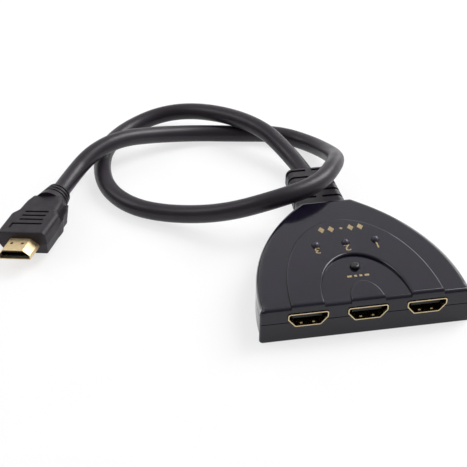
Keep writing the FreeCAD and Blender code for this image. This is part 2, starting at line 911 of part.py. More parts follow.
def chip(name, x, y, half_wide, half_deep, tall, leads):
    """A flat package with a row of leads along its two long sides."""
    stand = d.lead_thick
    solids = [box(name + "_case", (x - half_wide, x + half_wide), (y - half_deep, y + half_deep),
                  (board_top + stand / 2, board_top + tall))]
    for side in (-1, 1):
        for index in range(leads):
            lead_y = y + (index - (leads - 1) / 2) * d.lead_pitch
            inner, outer = x + side * half_wide, x + side * (half_wide + d.lead_long)
            span = (outer, inner) if side < 0 else (inner, outer)
            solids.append(box(f"{name}_lead_{'left' if side < 0 else 'right'}_{index + 1}", span,
                              (lead_y - d.lead_wide / 2, lead_y + d.lead_wide / 2),
                              (board_top, board_top + d.lead_thick)))
    return group(name, solids)


# Where the small parts sit, as (x, depth behind the front face), or where the
# depth is below zero, as (x, depth from the board's tail)
CAPACITOR_SPOTS = [(-27, 26), (-27, 31), (27, 26), (27, 31), (-9, -7.5), (9, -7.5)]
RESISTOR_SPOTS = [(-22, 15), (-16, 15), (-11, 15), (11, 15), (16, 15), (22, 15),
                  (-4.5, -7.5), (4.5, -7.5)]


def make_board_parts():
    """The small parts soldered to the board."""
    middle = front + d.chip_deep
    parts = [chip("switching_chip", as_size(0), middle, d.chip_half, d.chip_half, d.chip_tall,
                  int(d.chip_leads.value)),
             chip("voltage_regulator", d.regulator_side, front + d.regulator_deep,
                  d.regulator_half, d.regulator_long_half, d.regulator_tall,
                  int(d.regulator_leads.value))]
    side, deep = -d.regulator_side, front + d.regulator_deep
    can = box("crystal_can", (side - d.crystal_half, side + d.crystal_half),
              (deep - d.crystal_half * 2, deep + d.crystal_half * 2),
              (board_top, board_top + d.crystal_tall))
    parts.append(can)
    for name, half, tall, spots in (
            ("capacitors", d.capacitor_half, d.capacitor_tall, CAPACITOR_SPOTS),
            ("resistors", d.resistor_half, d.resistor_half, RESISTOR_SPOTS)):
        solids = []
        for number, (x, deep) in enumerate(spots, start=1):
            y = front + deep if deep > 0 else front + board_deep + deep
            solids.append(box(f"{name}_{number}", (as_size(x) - half, as_size(x) + half),
                              (y - half / 2, y + half / 2), (board_top, board_top + tall)))
        parts.append(group(name, solids))
    return parts


def make_wires():
    """Cable conductors soldered to the tail of the board."""
    start = front + board_deep - d.wire_overlap
    end = boot_inner_end()
    level = board_top + d.wire_round
    wires = [rod(f"wire_{index + 1}", (index - 2) * d.wire_pitch, (start, end), level,
                 d.wire_round, "y") for index in range(5)]
    return group("conductor_wires", wires)


def boot_inner_end():
    return rear - d.wall - d.boot_gap - d.boot_flange_thick


def make_boot():
    """The moulded strain relief: ladder body, neck in the rear wall, inner flange."""
    body = new_body("boot_moulding")
    plan = new_sketch(body, "boot_plan", "XY_Plane", d.boot_low)
    start = rear + d.boot_gap
    draw_outline(plan, [(-d.boot_start_half, start), (d.boot_start_half, start),
                        (d.boot_end_half, boot_end), (-d.boot_end_half, boot_end)])
    pad(body, "boot_block", plan, d.boot_tall)
    top = d.boot_low + d.boot_tall
    rounded(body, "boot_sides", d.boot_round,
            lambda edge: not runs_along(edge, "X") and not runs_along(edge, "Z"))
    rounded(body, "boot_tail", d.boot_tail_round, lambda edge: flat_at(edge, "Y", boot_end))
    ladder = []
    for number in range(int(d.groove_count.value)):
        low = rear + d.groove_first + number * d.groove_pitch
        span = (low, low + d.groove_wide)
        for tag, near, far in (("left", -d.boot_start_half - 1, -d.spine_half),
                               ("right", d.spine_half, d.boot_start_half + 1)):
            side_core = (near, -d.groove_core) if tag == "left" else (d.groove_core, far)
            ladder.append(box(f"groove_{number}_{tag}_top", (near, far), span,
                              (top - d.groove_sink, top + 1)))
            ladder.append(box(f"groove_{number}_{tag}_side", side_core, span,
                              (d.boot_low + d.groove_sink, top + 1)))
    ribbed = cut("boot_ribbed", body, ladder)
    half, low, high = boot_neck()
    neck_start = boot_inner_end()
    neck = box("boot_neck", (-half, half), (neck_start, start + 0.5), (low, high))
    rim = d.boot_flange
    flange = box("boot_flange_plate", (-half - rim, half + rim),
                 (neck_start, neck_start + d.boot_flange_thick), (d.wall + d.boot_gap, high + rim))
    return fuse("strain_relief_boot", [ribbed, neck, flange])


def make_screws():
    """Four screws up through the bottom bosses into the top ones."""
    screws = []
    for number, (x, y) in enumerate(boss_places(), start=1):
        shoulder = d.screw_sink + d.screw_head_tall
        head = post(f"screw_head_{number}", x, y, (d.screw_sink, shoulder), d.screw_head)
        socket = cross_slot(f"screw_slot_{number}", x, y)
        shank = post(f"screw_shank_{number}", x, y, (shoulder - 0.1, screw_tip), d.screw_round)
        screws.append(cut(f"screw_{number}", fuse(f"screw_body_{number}", [head, shank]), socket))
    return group("case_screws", screws)


def cross_slot(name, x, y):
    """Two crossed slots in a screw head."""
    arm, half = d.screw_head * 0.6, d.slot_half
    level = (d.screw_sink - 1, d.screw_sink + d.slot_deep)
    return [box(name + "_a", (x - arm, x + arm), (y - half, y + half), level),
            box(name + "_b", (x - half, x + half), (y - arm, y + arm), level)]


# Where the cable lies: it leaves the strain relief, passes over its own
# returning stretch, loops round, passes over the strain relief and lies back
# over itself to the plug. The first point is the end of the strain relief.
CABLE_ROUTE = [
    (0, boot_end.value, d.cable_height.value),
    (0, 57.5, 5.5), (-2, 69, 7.3), (-9, 81.2, 11.4), (-22, 95.2, 12.2), (-39, 107.8, 9.2),
    (-56, 111.8, 6), (-73, 106.2, 4), (-85, 92.5, 3.8), (-88.7, 73.5, 3.8),
    (-86.5, 55, 3.8), (-76, 39.8, 3.8), (-60, 30.5, 6), (-41.5, 25.5, 12.5), (-24, 23.5, 19),
    (-6.6, 24.5, 21.6), (9, 33, 20.8), (18.1, 47.6, 15.2), (17.6, 66.2, 8), (8.9, 81.5, 4),
    (-6.5, 90.3, 3.8), (-24, 93.2, 3.8), (-42, 95.2, 4), (-60, 91.8, 7.8), (-76.5, 82.8, 12.9),
    (-89.5, 74, 12.2), (-99.7, 63.4, 7.6), (-106.3, 49.9, 7.6),
]
ARC_SHARE = 0.48
PLUG_ROLL = -10.0


def rounded_path(points):
    """Straight runs joined by arcs that touch both runs of each corner."""
    edges, start, radii = [], points[0], []
    for before, corner, after in zip(points, points[1:], points[2:]):
        back, ahead = before - corner, after - corner
        setback = ARC_SHARE * min(back.Length, ahead.Length)
        inward, outward = Vector(back).normalize(), Vector(ahead).normalize()
        first, last = corner + inward * setback, corner + outward * setback
        turn = math.pi - inward.getAngle(outward)
        radius = setback / math.tan(turn / 2)
        radii.append(radius)
        middle = (inward + outward).normalize()
        centre = corner + middle * (radius / math.cos(turn / 2))
        edges.append(Part.LineSegment(start, first).toShape())
        edges.append(Part.Arc(first, centre - middle * radius, last).toShape())
        start = last
    edges.append(Part.LineSegment(start, points[-1]).toShape())
    return Part.Wire(edges), radii


def make_cable():
    """The free cable, a tube along its route."""
    points = [Vector(*point) for point in CABLE_ROUTE]
    path, radii = rounded_path(points)
    radius = d.cable_round.value
    ring = Part.Circle(points[0], points[1] - points[0], radius).toShape()
    tube = path.makePipeShell([Part.Wire([ring])], True, False)
    share = tube.Volume / (math.pi * radius ** 2 * path.Length)
    print("cable length", round(path.Length, 1), "volume share", round(share, 4))
    print("cable radii", [round(value, 1) for value in radii])
    cable = doc.addObject("Part::Feature", "cable")
    cable.Shape = tube
    return cable


def plug_place():
    """Place of the plug: its tail on the cable's end, in line with the last run."""
    before, end = (Vector(*point) for point in CABLE_ROUTE[-2:])
    back = (before - end).normalize()
    yaw = FreeCAD.Rotation(Vector(0, 0, 1), -math.degrees(math.atan2(back.x, back.y)))
    pitch = FreeCAD.Rotation(Vector(1, 0, 0), math.degrees(math.asin(back.z)))
    roll = FreeCAD.Rotation(Vector(0, 1, 0), PLUG_ROLL)
    return FreeCAD.Placement(end, yaw * pitch * roll)


def plug_prism(name, inset, start, end):
    """A prism of the plug's D shape, wide side down, along the plug's own Y."""
    body = new_body(name)
    sketch = new_sketch(body, name + "_outline", "XZ_Plane", -as_size(end))
    draw_outline(sketch, d_corners(as_size(0), as_size(0), d.plug_half, d.plug_foot,
                                   d.plug_tall, d.plug_knee, as_size(inset), -1))
    pad(body, name + "_prism", sketch, as_size(end) - start)
    rounded(body, name + "_corners", d.plug_corner, lambda edge: runs_along(edge, "Y"))
    return body


def grip_plan(body, name, outline, face, level):
    """The grip's outline from (half width, distance behind the face) stations."""
    plan = new_sketch(body, name + "_plan", "XY_Plane", level)
    left = [(-half, face + back) for half, back in outline]
    right = [(half, face + back) for half, back in reversed(outline)]
    draw_outline(plan, left[::-1] + right[::-1])
    return plan


def grip_cap(name, outline, face):
    """The upper part of the grip, with upright sides."""
    low = d.flank_level - d.grip_overlap
    body = new_body(name)
    plan = grip_plan(body, name, outline, face, low)
    pad(body, name + "_block", plan, d.grip_over - low)
    rounded(body, name + "_sides", d.grip_round,
            lambda edge: flat_at(edge, "Z", d.grip_over) and not runs_along(edge, "X"))
    rounded(body, name + "_nose", d.grip_edge,
            lambda edge: flat_at(edge, "Y", face) and not flat_at(edge, "Z", low))
    return body


def grip_keel(name, outline, face):
    """The lower part of the grip, with sides that lean in towards the underside."""
    frame = new_body(name + "_frame")
    keel = doc.addObject("Part::Extrusion", name + "_taper")
    keel.Base = grip_plan(frame, name, outline, face, d.flank_level)
    keel.DirMode = "Custom"
    keel.Dir = Vector(0, 0, -1)
    keel.Solid = True
    bind(keel, "LengthFwd", d.grip_under + d.flank_level)
    bind(keel, "TaperAngle", -d.grip_taper)
    body = new_body(name, keel)
    rounded(body, name + "_sides", d.flank_round,
            lambda edge: flat_at(edge, "Z", -d.grip_under) and not runs_along(edge, "X"))
    return body


def make_plug():
    """Strain relief, grip, shell, insulator and contacts, with the tail's end at y = 0."""
    grip_back = -d.tail_long
    face = grip_back - d.grip_long
    tip = face - d.plug_proud
    inner = face + d.plug_inside

    cone = doc.addObject("Part::Cone", "tail_cone")
    cone.Placement = FreeCAD.Placement(Vector(), FreeCAD.Rotation(Vector(1, 0, 0), 90))
    bind(cone, "Radius1", d.tail_round)
    bind(cone, "Radius2", d.tail_wide)
    bind(cone, "Height", d.tail_long)
    rings = []
    for number in range(int(d.tail_ribs.value)):
        high = -d.tail_rib_gap - number * d.tail_rib_pitch
        span = (high - d.tail_rib_gap, high)
        sleeve = rod(f"tail_sleeve_{number}", 0, span, 0, d.tail_wide + 1, "y")
        core = rod(f"tail_core_{number}", 0, (span[0] - 1, span[1] + 1), 0,
                   d.tail_round - d.tail_rib_sink + number * d.tail_rib_step, "y")
        rings.append(cut(f"tail_ring_{number}", sleeve, [core]))
    tail = cut("plug_boot", cone, rings)

    top_outline = [(d.grip_half, 0), (d.grip_half, d.grip_shoulder),
                   (d.grip_neck_half, d.grip_neck), (d.grip_waist_half, d.grip_waist),
                   (d.grip_back_half, d.grip_long)]
    flank_outline = [(d.grip_half, 0), (d.grip_half, d.flank_start),
                     (d.flank_half, d.flank_rise), (d.flank_half, d.flank_fall),
                     (d.flank_rear_half, d.flank_step), (d.flank_rear_half, d.flank_rear),
                     (d.flank_notch_half, d.flank_notch), (d.flank_notch_half, d.grip_long)]
    body = fuse("grip_moulding", [grip_cap("grip_upper", top_outline, face),
                                  grip_keel("grip_flanks", flank_outline, face)])
    tools = [plug_prism("grip_bore", 0, face - 1, inner)]
    top = (d.grip_over - d.grip_groove_sink, d.grip_over + 1)
    for number in range(3):
        low = face + d.grip_groove_first + number * d.grip_groove_pitch
        tools.append(box(f"grip_groove_{number + 1}", (-d.grip_groove_left, d.grip_groove_right),
                         (low, low + d.grip_groove_wide), top))
    bar = face + d.grip_bar_back
    bar_end = -d.grip_bar_left + d.grip_groove_wide
    tools.append(box("grip_bar", (-d.grip_bar_left, d.grip_bar_right),
                     (bar, bar + d.grip_groove_wide), top))
    tools.append(box("grip_bar_end", (-d.grip_bar_left, bar_end),
                     (bar - d.grip_bar_leg, bar + d.grip_groove_wide / 2), top))
    grip = cut("plug_overmold", body, tools)

    outer = plug_prism("plug_tube", 0, tip, inner)
    hollow = plug_prism("plug_hollow", d.plug_wall, tip - 1, inner + 1)
    eyes = [post(f"plug_hole_{number}", side * d.plug_hole_side, face - d.plug_hole_ahead,
                 (0, d.plug_tall), d.plug_hole_round)
            for number, side in enumerate((-1, 1), start=1)]
    shell = cut("plug_shell", outer, [hollow] + eyes)

    mouth = tip + d.insulator_back
    block = plug_prism("insulator_block", d.plug_wall + d.tongue_gap, mouth, inner)
    slot_low, slot_high = -d.slot_tall / 2 - d.slot_drop, d.slot_tall / 2 - d.slot_drop
    slot = box("insulator_slot", (-d.slot_wide_half, d.slot_wide_half),
               (mouth - 1, face), (slot_low, slot_high))
    insulator = cut("plug_insulator", block, [slot])
    contacts = []
    for label, count, level in (("upper", 10, slot_high - d.contact_thick), ("lower", 9, slot_low)):
        for index in range(count):
            x = (index - (count - 1) / 2) * d.contact_pitch
            contacts.append(box(f"plug_{label}_{index + 1}",
                                (x - d.contact_wide / 2, x + d.contact_wide / 2),
                                (mouth + d.contact_back, face), (level, level + d.contact_thick)))
    pieces = [tail, grip, shell, insulator, group("plug_contacts", contacts)]
    for piece in pieces:
        piece.Placement = plug_place()
    return pieces


def build():
    """Make every node, with its name as its label."""
    envelope = make_envelope()
    nodes = [make_top_cover(envelope), make_bottom_cover(envelope), make_board()]
    for number, middle in enumerate(port_middles(), start=1):
        nodes += make_port(number, middle)
    nodes += [make_lamp(number, x) for number, x in enumerate(lamp_places(), start=1)]
    button, foot = make_button()
    nodes.append(button)
    nodes += make_switch(foot)
    nodes += make_board_parts()
    nodes += [make_wires(), make_boot(), make_screws(), make_cable()]
    nodes += make_plug()
    return nodes


def write_nodes(nodes):
    """Check every object and shape, then write one file for each node."""
    doc.recompute()
    for item in doc.Objects:
        if "Invalid" in item.State or "Error" in item.State:
            raise RuntimeError(f"{item.Name} failed: {item.State}")
    for node in nodes:
        if node.Shape.isNull() or not node.Shape.isValid():
            raise RuntimeError(f"{node.Label} has no valid shape")
    os.makedirs("parts", exist_ok=True)
    for node in nodes:
        node.Shape.exportStep(f"parts/{node.Label}.step")
        print(node.Label, len(node.Shape.Solids), round(node.Shape.Volume, 2))


write_nodes(build())
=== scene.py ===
"""Three-way video switch box with a captive cable, dressed for rendering."""

import math

import bmesh
import bpy
from bpy.props import FloatProperty, FloatVectorProperty, PointerProperty
from bpy.types import Operator, Panel, PropertyGroup
from mathutils import Matrix, Vector


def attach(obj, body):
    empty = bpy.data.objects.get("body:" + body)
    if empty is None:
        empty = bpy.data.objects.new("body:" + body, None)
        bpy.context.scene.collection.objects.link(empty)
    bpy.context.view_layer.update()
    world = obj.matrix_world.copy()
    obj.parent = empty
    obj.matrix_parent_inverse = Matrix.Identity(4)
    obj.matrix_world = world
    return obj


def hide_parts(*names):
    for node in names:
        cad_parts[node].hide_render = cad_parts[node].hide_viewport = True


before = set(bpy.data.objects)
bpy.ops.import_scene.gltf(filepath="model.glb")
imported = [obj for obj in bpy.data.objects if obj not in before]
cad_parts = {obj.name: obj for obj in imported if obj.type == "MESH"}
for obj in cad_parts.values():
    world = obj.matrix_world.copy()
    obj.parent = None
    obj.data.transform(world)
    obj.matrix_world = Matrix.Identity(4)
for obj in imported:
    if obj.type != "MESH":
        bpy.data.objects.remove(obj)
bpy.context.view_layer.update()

bl_info = {
    "name": "Video switch box",
    "version": (1, 0, 0),
    "blender": (4, 5, 0),
    "location": "3D View > Sidebar > Switch Box",
    "description": "A fan-shaped switch box with three sockets, its cable and its plug",
    "category": "Object",
}

MM = 0.001
BODY = "housing"
NUMBERS = (1, 2, 3)

# Colours that no setting changes
BUTTON_BLACK = (0.004, 0.004, 0.005)
LAMP_GREY = (0.06, 0.052, 0.075)
TONGUE_BLACK = (0.006, 0.006, 0.006)
INSULATOR_BLACK = (0.008, 0.008, 0.008)
# Plating of the plug's shell: the sockets' gold in a brighter copy, as painted light on the shell
PLUG_GOLD_LIT = (0.8, 0.64, 0.38)
CHIP_BLACK = (0.012, 0.012, 0.013)
BOARD_GREEN = (0.012, 0.085, 0.03)
CERAMIC_TAN = (0.42, 0.27, 0.14)
RESISTOR_GREY = (0.02, 0.02, 0.025)
WIRE_RED = (0.35, 0.03, 0.02)


# Finishes

# The part of a noise's range where most of its values lie
NOISE_LOW = 0.3
NOISE_HIGH = 0.7


class Shader:
    """A node material with one Principled shader and helpers to link into it."""

    def __init__(self, name):
        self.material = bpy.data.materials.new(name)
        self.material.use_nodes = True
        self.tree = self.material.node_tree
        self.tree.nodes.clear()
        self.output = self.node("ShaderNodeOutputMaterial")
        self.surface = self.node("ShaderNodeBsdfPrincipled")
        self.link(self.surface.outputs["BSDF"], self.output.inputs["Surface"])
        self.place = self.node("ShaderNodeTexCoord").outputs["Object"]

    def node(self, kind):
        return self.tree.nodes.new(kind)

    def link(self, start, end):
        self.tree.links.new(start, end)

    def set(self, **values):
        """Set sockets of the shader, named in lower case with underscores."""
        for key, value in values.items():
            name = key.replace("_", " ").title().replace("Ior", "IOR")
            self.surface.inputs[name].default_value = value

    def noise(self, scale, detail=3.0, stretch=None):
        """Noise whose scale counts cells per metre."""
        texture = self.node("ShaderNodeTexNoise")
        texture.inputs["Scale"].default_value = scale
        texture.inputs["Detail"].default_value = detail
        texture.inputs["Roughness"].default_value = 0.55
        if stretch is None:
            self.link(self.place, texture.inputs["Vector"])
        else:
            mapping = self.node("ShaderNodeMapping")
            mapping.inputs["Scale"].default_value = stretch
            self.link(self.place, mapping.inputs["Vector"])
            self.link(mapping.outputs["Vector"], texture.inputs["Vector"])
        return texture.outputs["Fac"]

    def spread(self, value, low, high, start=NOISE_LOW, end=NOISE_HIGH):
        """Map a value from the span start to end onto the span low to high."""
        span = self.node("ShaderNodeMapRange")
        span.inputs["From Min"].default_value = start
        span.inputs["From Max"].default_value = end
        span.inputs["To Min"].default_value = low
        span.inputs["To Max"].default_value = high
        self.link(value, span.inputs["Value"])
        return span.outputs["Result"]

    def tint(self, value, dark, light):
        """Blend two colours by a value and use it as the base colour."""
        ramp = self.node("ShaderNodeValToRGB")
        first, last = ramp.color_ramp.elements
        first.position, first.color = NOISE_LOW, (*dark, 1)
        last.position, last.color = NOISE_HIGH, (*light, 1)
        self.link(value, ramp.inputs["Fac"])
        self.link(ramp.outputs["Color"], self.surface.inputs["Base Color"])

    def bump(self, value, depth):
        """Raise the surface by a value; depth is in metres."""
        node = self.node("ShaderNodeBump")
        node.inputs["Strength"].default_value = 1
        node.inputs["Distance"].default_value = depth
        self.link(value, node.inputs["Height"])
        self.link(node.outputs["Normal"], self.surface.inputs["Normal"])


def shade(colour, factor):
    return tuple(min(1.0, part * factor) for part in colour)


def moulded_finish(name, colour, roughness, grain, depth, variation=0.12, shine=0.5):
    """Moulded plastic or rubber: uneven tone, uneven gloss and a fine grain."""
    shader = Shader(name)
    cloud = shader.noise(scale=90, detail=4)
    shader.tint(cloud, shade(colour, 1 - variation), shade(colour, 1 + variation))
    skin = shader.noise(scale=grain, detail=2)
    rough = shader.spread(shader.noise(scale=260, detail=5), low=roughness * 0.88,
                          high=roughness * 1.12)
    shader.link(rough, shader.surface.inputs["Roughness"])
    shader.bump(skin, depth)
    shader.set(specular_ior_level=shine)
    return shader.material


def metal_finish(name, colour, roughness, stretch, depth=4e-6):
    """Plated or rolled metal with fine lines across the stretched direction."""
    shader = Shader(name)
    shader.set(metallic=1.0)
    shader.tint(shader.noise(scale=700), shade(colour, 0.9), shade(colour, 1.06))
    lines = shader.noise(scale=900, stretch=stretch)
    rough = shader.spread(lines, low=roughness * 0.8, high=roughness * 1.25)
    shader.link(rough, shader.surface.inputs["Roughness"])
    shader.bump(lines, depth)
    return shader.material


def lamp_finish(name, colour):
    """Smoky lamp plastic that lets a little light through."""
    shader = Shader(name)
    shader.tint(shader.noise(scale=500), shade(colour, 0.8), shade(colour, 1.15))
    shader.set(transmission_weight=0.2, ior=1.45, specular_ior_level=0.3)
    rough = shader.spread(shader.noise(scale=400), low=0.16, high=0.24)
    shader.link(rough, shader.surface.inputs["Roughness"])
    return shader.material


def board_finish(name, colour):
    """Board lacquer over a web of traces."""
    shader = Shader(name)
    cells = shader.node("ShaderNodeTexVoronoi")
    cells.feature = "DISTANCE_TO_EDGE"
    cells.inputs["Scale"].default_value = 520
    shader.link(shader.place, cells.inputs["Vector"])
    edge = shader.spread(cells.outputs["Distance"], low=0.0, high=1.0, start=0.02, end=0.08)
    shader.tint(edge, shade(colour, 1.7), colour)
    shader.set(roughness=0.35, coat_weight=0.3)
    shader.bump(edge, 2e-5)
    return shader.material


def dress(node, material):
    """Give a carried-over CAD node its finish."""
    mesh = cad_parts[node].data
    mesh.materials.clear()
    mesh.materials.append(material)


# Settings

class CableSettings(PropertyGroup):
    diameter: FloatProperty(
        name="Diameter", description="Outside diameter of the cable", default=0.0075,
        unit="LENGTH", subtype="DISTANCE")
    length: FloatProperty(
        name="Length", description="Free length from the strain relief to the plug",
        default=0.462, unit="LENGTH", subtype="DISTANCE")
    colour: FloatVectorProperty(
        name="Jacket colour", description="Colour of the cable jacket", subtype="COLOR",
        default=(0.0165, 0.0122, 0.0185), min=0, max=1)


class CaseSettings(PropertyGroup):
    colour: FloatVectorProperty(
        name="Case colour", description="Colour of the glossy covers", subtype="COLOR",
        default=(0.0078, 0.0062, 0.0138), min=0, max=1)
    gloss: FloatProperty(
        name="Case roughness", description="Roughness of the polished covers",
        default=0.1, min=0, max=1, subtype="FACTOR")
    ink: FloatVectorProperty(
        name="Ink colour", description="Colour of the printed marks", subtype="COLOR",
        default=(0.37, 0.29, 0.17), min=0, max=1)
    numeral: FloatProperty(
        name="Numeral height", description="Height of the numerals beside the lamps",
        default=0.0036, unit="LENGTH", subtype="DISTANCE")


class MetalSettings(PropertyGroup):
    # Darker than the plug shell's copy of the same gold: painted shade on the sockets' shells and
    # contacts; the plug's contacts use it too
    gold: FloatVectorProperty(
        name="Plating colour", description="Colour of the sockets' shells and the contacts",
        subtype="COLOR", default=(0.62, 0.51, 0.31), min=0, max=1)
    steel: FloatVectorProperty(
        name="Steel colour", description="Colour of screws and switch metal",
        subtype="COLOR", default=(0.55, 0.55, 0.57), min=0, max=1)


class StageSettings(PropertyGroup):
    lens: FloatProperty(
        name="Lens", description="Focal length of the camera", default=87.9, unit="CAMERA")
    key_power: FloatProperty(
        name="Main lamp power", description="Power of the large lamp high at the right",
        default=9.5, unit="POWER")
    fill_power: FloatProperty(
        name="Side lamp power", description="Power of the lamp high at the left",
        default=1.5, unit="POWER")
    edge_power: FloatProperty(
        name="Edge lamp power", description="Power of the low lamp behind at the right",
        default=0.6, unit="POWER")
    room: FloatProperty(
        name="Room light", description="Brightness of the room behind the object, at the right",
        default=1.2, min=0)
    room_dark: FloatProperty(
        name="Dark side", description="Brightness of the room on the opposite side",
        default=0.3, min=0)
    floor_white: FloatProperty(
        name="Floor white", description="Share of plain white in the floor as it is seen",
        default=0.7, min=0, max=1, subtype="FACTOR")


# Camera

# Where the camera stands, in metres, and the directions of its view and of its right side
EYE = Vector((-0.10496, -0.35364, 0.27320))
AHEAD = Vector((0.14485, 0.79889, -0.58378))
ASIDE = Vector((0.98395, -0.17841, 0.0))
# Turn about the viewing direction, in radians
ROLL = 0.00706


class SWITCHBOX_OT_camera(Operator):
    """Place the camera at the photo's viewing angle"""

    bl_idname = "switchbox.camera"
    bl_label = "Camera"

    def execute(self, context):
        camera = bpy.data.cameras.new("camera")
        camera.lens = context.scene.stage_settings.lens
        camera.sensor_width = 36.0
        camera.clip_start = 0.01
        holder = bpy.data.objects.new("camera", camera)
        above = ASIDE.cross(AHEAD).normalized()
        right = ASIDE * math.cos(ROLL) + above * math.sin(ROLL)
        upward = above * math.cos(ROLL) - ASIDE * math.sin(ROLL)
        turn = Matrix((right, upward, -AHEAD)).transposed().to_4x4()
        holder.matrix_world = Matrix.Translation(EYE) @ turn
        context.scene.collection.objects.link(holder)
        context.scene.camera = holder
        return {"FINISHED"}


# Cable

# Control points from the strain relief to the plug, in millimetres
CABLE_POINTS = [
    (0, 49.2, 5.5), (-1.4, 57.5, 5.7), (-6, 69, 8.3), (-12.4, 80, 11.9), (-24, 94, 12),
    (-40, 107.6, 9.3), (-56, 111.8, 6.4), (-72, 105, 4), (-82.8, 91.5, 3.8), (-87, 73.5, 3.8),
    (-85.5, 55, 3.8), (-76, 40, 3.8), (-59.6, 30, 5.2), (-40.6, 19.6, 11), (-20.8, 13.6, 19.6),
    (-2.6, 19.6, 20.6), (9.2, 36, 20), (14, 57.5, 9.6), (8.6, 77.8, 4), (-4, 89.2, 3.8),
    (-22, 92.2, 3.8), (-41, 95.6, 4), (-60, 91.5, 7.5), (-77, 82.2, 12.8), (-90.2, 73.8, 11.8),
    (-99.9, 63, 7.8), (-106.3, 49.9, 7.6),
]


class SWITCHBOX_OT_cable(Operator):
    """Lay the round cable in its loops"""

    bl_idname = "switchbox.cable"
    bl_label = "Cable"

    def execute(self, context):
        settings = context.scene.cable_settings
        curve = bpy.data.curves.new("cable_jacket", "CURVE")
        curve.dimensions = "3D"
        curve.bevel_depth = settings.diameter / 2
        curve.bevel_resolution = 8
        curve.resolution_u = 16
        spline = curve.splines.new("NURBS")
        spline.points.add(len(CABLE_POINTS) - 1)
        for point, place in zip(spline.points, CABLE_POINTS):
            point.co = (*(part * MM for part in place), 1)
        spline.order_u = 3
        spline.use_endpoint_u = True
        spline.use_smooth = True
        cable = bpy.data.objects.new("cable_jacket", curve)
        context.scene.collection.objects.link(cable)
        curve.materials.append(moulded_finish(
            "cable_rubber", settings.colour, roughness=0.38, grain=2600, depth=1.2e-5,
            shine=0.36))
        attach(cable, BODY)
        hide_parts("cable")
        return {"FINISHED"}


# Box

class SWITCHBOX_OT_case(Operator):
    """Finish the two covers, the button and the lamps"""

    bl_idname = "switchbox.case"
    bl_label = "Case"

    def execute(self, context):
        settings = context.scene.case_settings
        polish = {"variation": 0.2, "shine": 0.42}
        dress("top_cover", moulded_finish(
            "case_gloss", settings.colour, settings.gloss, grain=900, depth=1.5e-6, **polish))
        dress("bottom_cover", moulded_finish(
            "case_lower", settings.colour, settings.gloss * 1.6, grain=1200, depth=4e-6,
            **polish))
        dress("select_button", moulded_finish(
            "button_black", BUTTON_BLACK, roughness=0.3, grain=1500, depth=4e-6))
        for number in NUMBERS:
            dress(f"led_{number}", lamp_finish(f"lamp_clear_{number}", LAMP_GREY))
        return {"FINISHED"}


class SWITCHBOX_OT_sockets(Operator):
    """Finish the three sockets"""

    bl_idname = "switchbox.sockets"
    bl_label = "Sockets"

    def execute(self, context):
        gold = context.scene.metal_settings.gold
        # The sockets' plating is the darker copy of the gold: painted shade on their shells and
        # contacts
        plated = metal_finish("gold_shell", gold, roughness=0.24, stretch=(1, 1, 6))
        contact = metal_finish("gold_contact", shade(gold, 0.9), roughness=0.3,
                               stretch=(1, 6, 1))
        plastic = moulded_finish("tongue_plastic", TONGUE_BLACK, roughness=0.5, grain=2500,
                                 depth=1e-5)
        for number in NUMBERS:
            dress(f"port_shell_{number}", plated)
            dress(f"port_tongue_{number}", plastic)
            dress(f"port_contacts_{number}", contact)
        return {"FINISHED"}


class SWITCHBOX_OT_plug(Operator):
    """Finish the plug on the cable's far end"""

    bl_idname = "switchbox.plug"
    bl_label = "Plug"

    def execute(self, context):
        gold = context.scene.metal_settings.gold
        jacket = context.scene.cable_settings.colour
        rubber = moulded_finish("plug_rubber", shade(jacket, 0.85), roughness=0.5, grain=2200,
                                depth=2e-5, shine=0.34)
        dress("plug_boot", rubber)
        dress("plug_overmold", rubber)
        # The shell's plating is the brighter copy of the gold: painted light on the plug's shell
        dress("plug_shell", metal_finish(
            "plug_gold", PLUG_GOLD_LIT, roughness=0.5, stretch=(1, 1, 6)))
        dress("plug_contacts", metal_finish(
            "plug_contact", gold, roughness=0.3, stretch=(1, 6, 1)))
        dress("plug_insulator", moulded_finish(
            "plug_insulator", INSULATOR_BLACK, roughness=0.5, grain=2500, depth=1e-5))
        return {"FINISHED"}


class SWITCHBOX_OT_relief(Operator):
    """Finish the ribbed strain relief behind the box"""

    bl_idname = "switchbox.relief"
    bl_label = "Strain relief"

    def execute(self, context):
        jacket = context.scene.cable_settings.colour
        dress("strain_relief_boot", moulded_finish(
            "relief_rubber", shade(jacket, 0.8), roughness=0.42, grain=2000, depth=2e-5,
            shine=0.4))
        return {"FINISHED"}


class SWITCHBOX_OT_inside(Operator):
    """Finish the board, the switch, the screws and the wires inside"""

    bl_idname = "switchbox.inside"
    bl_label = "Inside parts"

    def execute(self, context):
        steel = metal_finish("steel", context.scene.metal_settings.steel, roughness=0.32,
                             stretch=(1, 5, 1))
        black = moulded_finish("chip_black", CHIP_BLACK, roughness=0.55, grain=3000, depth=1e-5)
        dress("circuit_board", board_finish("board_green", BOARD_GREEN))
        for name in ("switch_plate", "switch_dome", "crystal_can", "case_screws"):
            dress(name, steel)
        for name in ("switch_base", "switch_plunger", "switching_chip", "voltage_regulator"):
            dress(name, black)
        dress("capacitors", moulded_finish(
            "ceramic_tan", CERAMIC_TAN, roughness=0.5, grain=1800, depth=1e-5))
        dress("resistors", moulded_finish(
            "resistor_dark", RESISTOR_GREY, roughness=0.45, grain=1800, depth=1e-5))
        dress("conductor_wires", moulded_finish(
            "wire_red", WIRE_RED, roughness=0.4, grain=1500, depth=1e-5))
        return {"FINISHED"}


# Marks

# Levels and rows on the box, in millimetres
FRONT = -48.8
PANEL_TOP = 16.1
RIM_TOP = 15.0
LAMP_PITCH = 11.7
NUMERAL_ROW = FRONT + 30.9
LOZENGE_ROW = FRONT + 43.5
DASH_ROW = FRONT + 14.6

# The ink stands up by its thickness, reaches a little into the cover and has an eased edge
INK_THICK = 0.03
INK_SUNK = 0.05
INK_EASE = 0.01
